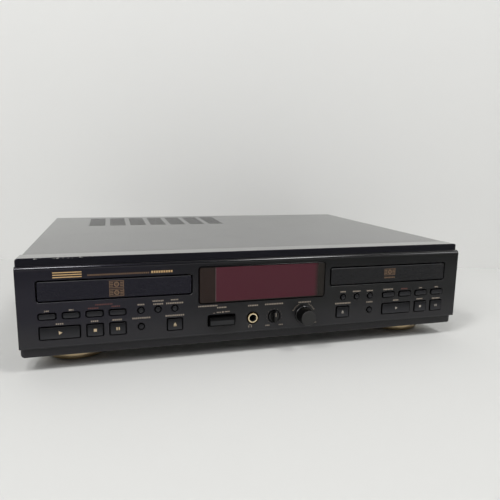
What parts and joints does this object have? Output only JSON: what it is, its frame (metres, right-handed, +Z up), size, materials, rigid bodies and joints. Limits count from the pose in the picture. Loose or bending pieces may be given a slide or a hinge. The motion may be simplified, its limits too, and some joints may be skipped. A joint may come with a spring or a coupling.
{
  "type": "disc recorder",
  "caption": "Flat black hi-fi disc recorder with two front-loading disc trays, a central display window, push keys, two knobs and a headphone socket.",
  "frame": {"origin": "centre of the overall box at the level of the feet", "axes": "+X to the right seen from the front, +Y from the front to the back, +Z up"},
  "size_m": [0.434, 0.343, 0.1012],
  "materials": {
    "front_moulding": "satin black moulding with a fine brushed look",
    "display_window": "smoked dark red gloss window",
    "cover_paint": "fine textured satin black paint",
    "chassis_steel": "plain zinc plated sheet",
    "screw": "blackened screw head",
    "foot_core": "matt black moulding",
    "foot_ring": "pale gold metal ring",
    "foot_pad": "soft black pad",
    "display_glass": "dark display tube",
    "board": "brown circuit board",
    "switch_plastic": "black switch and socket bodies",
    "core_steel": "varnished steel core",
    "socket_metal": "gold plated ring",
    "jack_metal": "gold plated sockets",
    "drive_plastic": "black drive mouldings",
    "motor_steel": "plain motor can",
    "key_plastic": "satin black key",
    "knob_plastic": "black knob",
    "tray_plastic": "matt black tray",
    "gear_plastic": "white wheel plastic"
  },
  "bodies": {
    "case": {"front_fascia": "front_moulding", "display_window": "display_window", "top_cover": "cover_paint", "chassis_base": "chassis_steel", "rear_panel": "cover_paint", "case_screws": "screw", "feet": "foot_core", "foot_rings": "foot_ring", "foot_pads": "foot_pad", "display_tube": "display_glass", "front_board": "board", "front_switches": "switch_plastic", "circuit_boards": "board", "transformer": "core_steel", "headphone_socket": "socket_metal", "rear_sockets": "jack_metal", "mains_inlet": "switch_plastic", "drive_frames": "drive_plastic", "loading_motors": "motor_steel"},
    "copy_speed_key": {"copy_speed_key": "key_plastic"},
    "copy_start_key": {"copy_start_key": "key_plastic"},
    "next_key_left": {"next_key_left": "key_plastic"},
    "back_key_left": {"back_key_left": "key_plastic"},
    "play_key_left": {"play_key_left": "key_plastic"},
    "stop_key_left": {"stop_key_left": "key_plastic"},
    "pause_key_left": {"pause_key_left": "key_plastic"},
    "open_key_left": {"open_key_left": "key_plastic"},
    "title_key": {"title_key": "key_plastic"},
    "text_key": {"text_key": "key_plastic"},
    "time_key_left": {"time_key_left": "key_plastic"},
    "relay_key": {"relay_key": "key_plastic"},
    "finish_disc_key": {"finish_disc_key": "key_plastic"},
    "record_key": {"record_key": "key_plastic"},
    "back_key_right": {"back_key_right": "key_plastic"},
    "next_key_right": {"next_key_right": "key_plastic"},
    "play_key_right": {"play_key_right": "key_plastic"},
    "stop_key_right": {"stop_key_right": "key_plastic"},
    "pause_key_right": {"pause_key_right": "key_plastic"},
    "open_key_right": {"open_key_right": "key_plastic"},
    "time_key_right": {"time_key_right": "key_plastic"},
    "clear_key": {"clear_key": "key_plastic"},
    "repeat_key": {"repeat_key": "key_plastic"},
    "menu_key": {"menu_key": "key_plastic"},
    "power_key": {"power_key": "key_plastic"},
    "level_knob": {"level_knob": "knob_plastic"},
    "jog_knob": {"jog_knob": "knob_plastic"},
    "tray_left": {"tray_left": "tray_plastic", "tray_door_left": "front_moulding"},
    "tray_pinion_left": {"tray_pinion_left": "gear_plastic"},
    "optical_unit_left": {"optical_unit_left": "drive_plastic"},
    "turntable_left": {"turntable_left": "gear_plastic"},
    "pickup_left": {"pickup_left": "drive_plastic"},
    "clamper_left": {"clamper_left": "gear_plastic"},
    "tray_right": {"tray_right": "tray_plastic", "tray_door_right": "front_moulding"},
    "tray_pinion_right": {"tray_pinion_right": "gear_plastic"},
    "optical_unit_right": {"optical_unit_right": "drive_plastic"},
    "turntable_right": {"turntable_right": "gear_plastic"},
    "pickup_right": {"pickup_right": "drive_plastic"},
    "clamper_right": {"clamper_right": "gear_plastic"}
  },
  "joints": [
    {"name": "copy_speed_key_press", "type": "slide", "parent": "case", "child": "copy_speed_key", "axis": [0, 1, 0], "range_m": [0, 0.0006], "stiffness_N_per_m": 1200},
    {"name": "copy_start_key_press", "type": "slide", "parent": "case", "child": "copy_start_key", "axis": [0, 1, 0], "range_m": [0, 0.0006], "stiffness_N_per_m": 1200},
    {"name": "next_key_left_press", "type": "slide", "parent": "case", "child": "next_key_left", "axis": [0, 1, 0], "range_m": [0, 0.0006], "stiffness_N_per_m": 1200},
    {"name": "back_key_left_press", "type": "slide", "parent": "case", "child": "back_key_left", "axis": [0, 1, 0], "range_m": [0, 0.0006], "stiffness_N_per_m": 1200},
    {"name": "play_key_left_press", "type": "slide", "parent": "case", "child": "play_key_left", "axis": [0, 1, 0], "range_m": [0, 0.0006], "stiffness_N_per_m": 1200},
    {"name": "stop_key_left_press", "type": "slide", "parent": "case", "child": "stop_key_left", "axis": [0, 1, 0], "range_m": [0, 0.0006], "stiffness_N_per_m": 1200},
    {"name": "pause_key_left_press", "type": "slide", "parent": "case", "child": "pause_key_left", "axis": [0, 1, 0], "range_m": [0, 0.0006], "stiffness_N_per_m": 1200},
    {"name": "open_key_left_press", "type": "slide", "parent": "case", "child": "open_key_left", "axis": [0, 1, 0], "range_m": [0, 0.0006], "stiffness_N_per_m": 1200},
    {"name": "title_key_press", "type": "slide", "parent": "case", "child": "title_key", "axis": [0, 1, 0], "range_m": [0, 0.0006], "stiffness_N_per_m": 1200},
    {"name": "text_key_press", "type": "slide", "parent": "case", "child": "text_key", "axis": [0, 1, 0], "range_m": [0, 0.0006], "stiffness_N_per_m": 1200},
    {"name": "time_key_left_press", "type": "slide", "parent": "case", "child": "time_key_left", "axis": [0, 1, 0], "range_m": [0, 0.0006], "stiffness_N_per_m": 1200},
    {"name": "relay_key_press", "type": "slide", "parent": "case", "child": "relay_key", "axis": [0, 1, 0], "range_m": [0, 0.0006], "stiffness_N_per_m": 1200},
    {"name": "finish_disc_key_press", "type": "slide", "parent": "case", "child": "finish_disc_key", "axis": [0, 1, 0], "range_m": [0, 0.0006], "stiffness_N_per_m": 1200},
    {"name": "record_key_press", "type": "slide", "parent": "case", "child": "record_key", "axis": [0, 1, 0], "range_m": [0, 0.0006], "stiffness_N_per_m": 1200},
    {"name": "back_key_right_press", "type": "slide", "parent": "case", "child": "back_key_right", "axis": [0, 1, 0], "range_m": [0, 0.0006], "stiffness_N_per_m": 1200},
    {"name": "next_key_right_press", "type": "slide", "parent": "case", "child": "next_key_right", "axis": [0, 1, 0], "range_m": [0, 0.0006], "stiffness_N_per_m": 1200},
    {"name": "play_key_right_press", "type": "slide", "parent": "case", "child": "play_key_right", "axis": [0, 1, 0], "range_m": [0, 0.0006], "stiffness_N_per_m": 1200},
    {"name": "stop_key_right_press", "type": "slide", "parent": "case", "child": "stop_key_right", "axis": [0, 1, 0], "range_m": [0, 0.0006], "stiffness_N_per_m": 1200},
    {"name": "pause_key_right_press", "type": "slide", "parent": "case", "child": "pause_key_right", "axis": [0, 1, 0], "range_m": [0, 0.0006], "stiffness_N_per_m": 1200},
    {"name": "open_key_right_press", "type": "slide", "parent": "case", "child": "open_key_right", "axis": [0, 1, 0], "range_m": [0, 0.0006], "stiffness_N_per_m": 1200},
    {"name": "time_key_right_press", "type": "slide", "parent": "case", "child": "time_key_right", "axis": [0, 1, 0], "range_m": [0, 0.0006], "stiffness_N_per_m": 1200},
    {"name": "clear_key_press", "type": "slide", "parent": "case", "child": "clear_key", "axis": [0, 1, 0], "range_m": [0, 0.0006], "stiffness_N_per_m": 1200},
    {"name": "repeat_key_press", "type": "slide", "parent": "case", "child": "repeat_key", "axis": [0, 1, 0], "range_m": [0, 0.0006], "stiffness_N_per_m": 1200},
    {"name": "menu_key_press", "type": "slide", "parent": "case", "child": "menu_key", "axis": [0, 1, 0], "range_m": [0, 0.0006], "stiffness_N_per_m": 1200},
    {"name": "power_key_press", "type": "slide", "parent": "case", "child": "power_key", "axis": [0, 1, 0], "range_m": [0, 0.003], "stiffness_N_per_m": 600},
    {"name": "level_knob_turn", "type": "hinge", "parent": "case", "child": "level_knob", "pos_m": [0.0109, -0.157, 0.0368], "axis": [0, -1, 0], "range_deg": [-150, 150]},
    {"name": "jog_knob_turn", "type": "hinge", "parent": "case", "child": "jog_knob", "pos_m": [0.0413, -0.157, 0.0368], "axis": [0, -1, 0], "continuous": true},
    {"name": "tray_slide_left", "type": "slide", "parent": "case", "child": "tray_left", "axis": [0, -1, 0], "range_m": [0, 0.138]},
    {"name": "tray_pinion_turn_left", "type": "hinge", "parent": "case", "child": "tray_pinion_left", "pos_m": [-0.096, -0.121, 0.066], "axis": [0, 0, 1], "range_deg": [-880, 1]},
    {"name": "optical_unit_tilt_left", "type": "hinge", "parent": "case", "child": "optical_unit_left", "pos_m": [-0.135, -0.005, 0.059], "axis": [1, 0, 0], "range_deg": [0, 5.5]},
    {"name": "turntable_spin_left", "type": "hinge", "parent": "optical_unit_left", "child": "turntable_left", "pos_m": [-0.135, -0.085, 0.074], "axis": [0, 0, 1], "continuous": true},
    {"name": "pickup_slide_left", "type": "slide", "parent": "optical_unit_left", "child": "pickup_left", "axis": [0, 1, 0], "range_m": [0, 0.035]},
    {"name": "clamper_spin_left", "type": "hinge", "parent": "case", "child": "clamper_left", "pos_m": [-0.135, -0.085, 0.08], "axis": [0, 0, 1], "continuous": true},
    {"name": "tray_slide_right", "type": "slide", "parent": "case", "child": "tray_right", "axis": [0, -1, 0], "range_m": [0, 0.138]},
    {"name": "tray_pinion_turn_right", "type": "hinge", "parent": "case", "child": "tray_pinion_right", "pos_m": [0.174, -0.121, 0.066], "axis": [0, 0, 1], "range_deg": [-880, 1]},
    {"name": "optical_unit_tilt_right", "type": "hinge", "parent": "case", "child": "optical_unit_right", "pos_m": [0.135, -0.005, 0.059], "axis": [1, 0, 0], "range_deg": [0, 5.5]},
    {"name": "turntable_spin_right", "type": "hinge", "parent": "optical_unit_right", "child": "turntable_right", "pos_m": [0.135, -0.085, 0.074], "axis": [0, 0, 1], "continuous": true},
    {"name": "pickup_slide_right", "type": "slide", "parent": "optical_unit_right", "child": "pickup_right", "axis": [0, 1, 0], "range_m": [0, 0.035]},
    {"name": "clamper_spin_right", "type": "hinge", "parent": "case", "child": "clamper_right", "pos_m": [0.135, -0.085, 0.08], "axis": [0, 0, 1], "continuous": true}
  ],
  "couplings": [
    {"joint": "tray_pinion_turn_left", "follows": "tray_slide_left", "rad_per_m": -111.11},
    {"joint": "clamper_spin_left", "follows": "turntable_spin_left", "ratio": 1},
    {"joint": "tray_pinion_turn_right", "follows": "tray_slide_right", "rad_per_m": -111.11},
    {"joint": "clamper_spin_right", "follows": "turntable_spin_right", "ratio": 1}
  ]
}
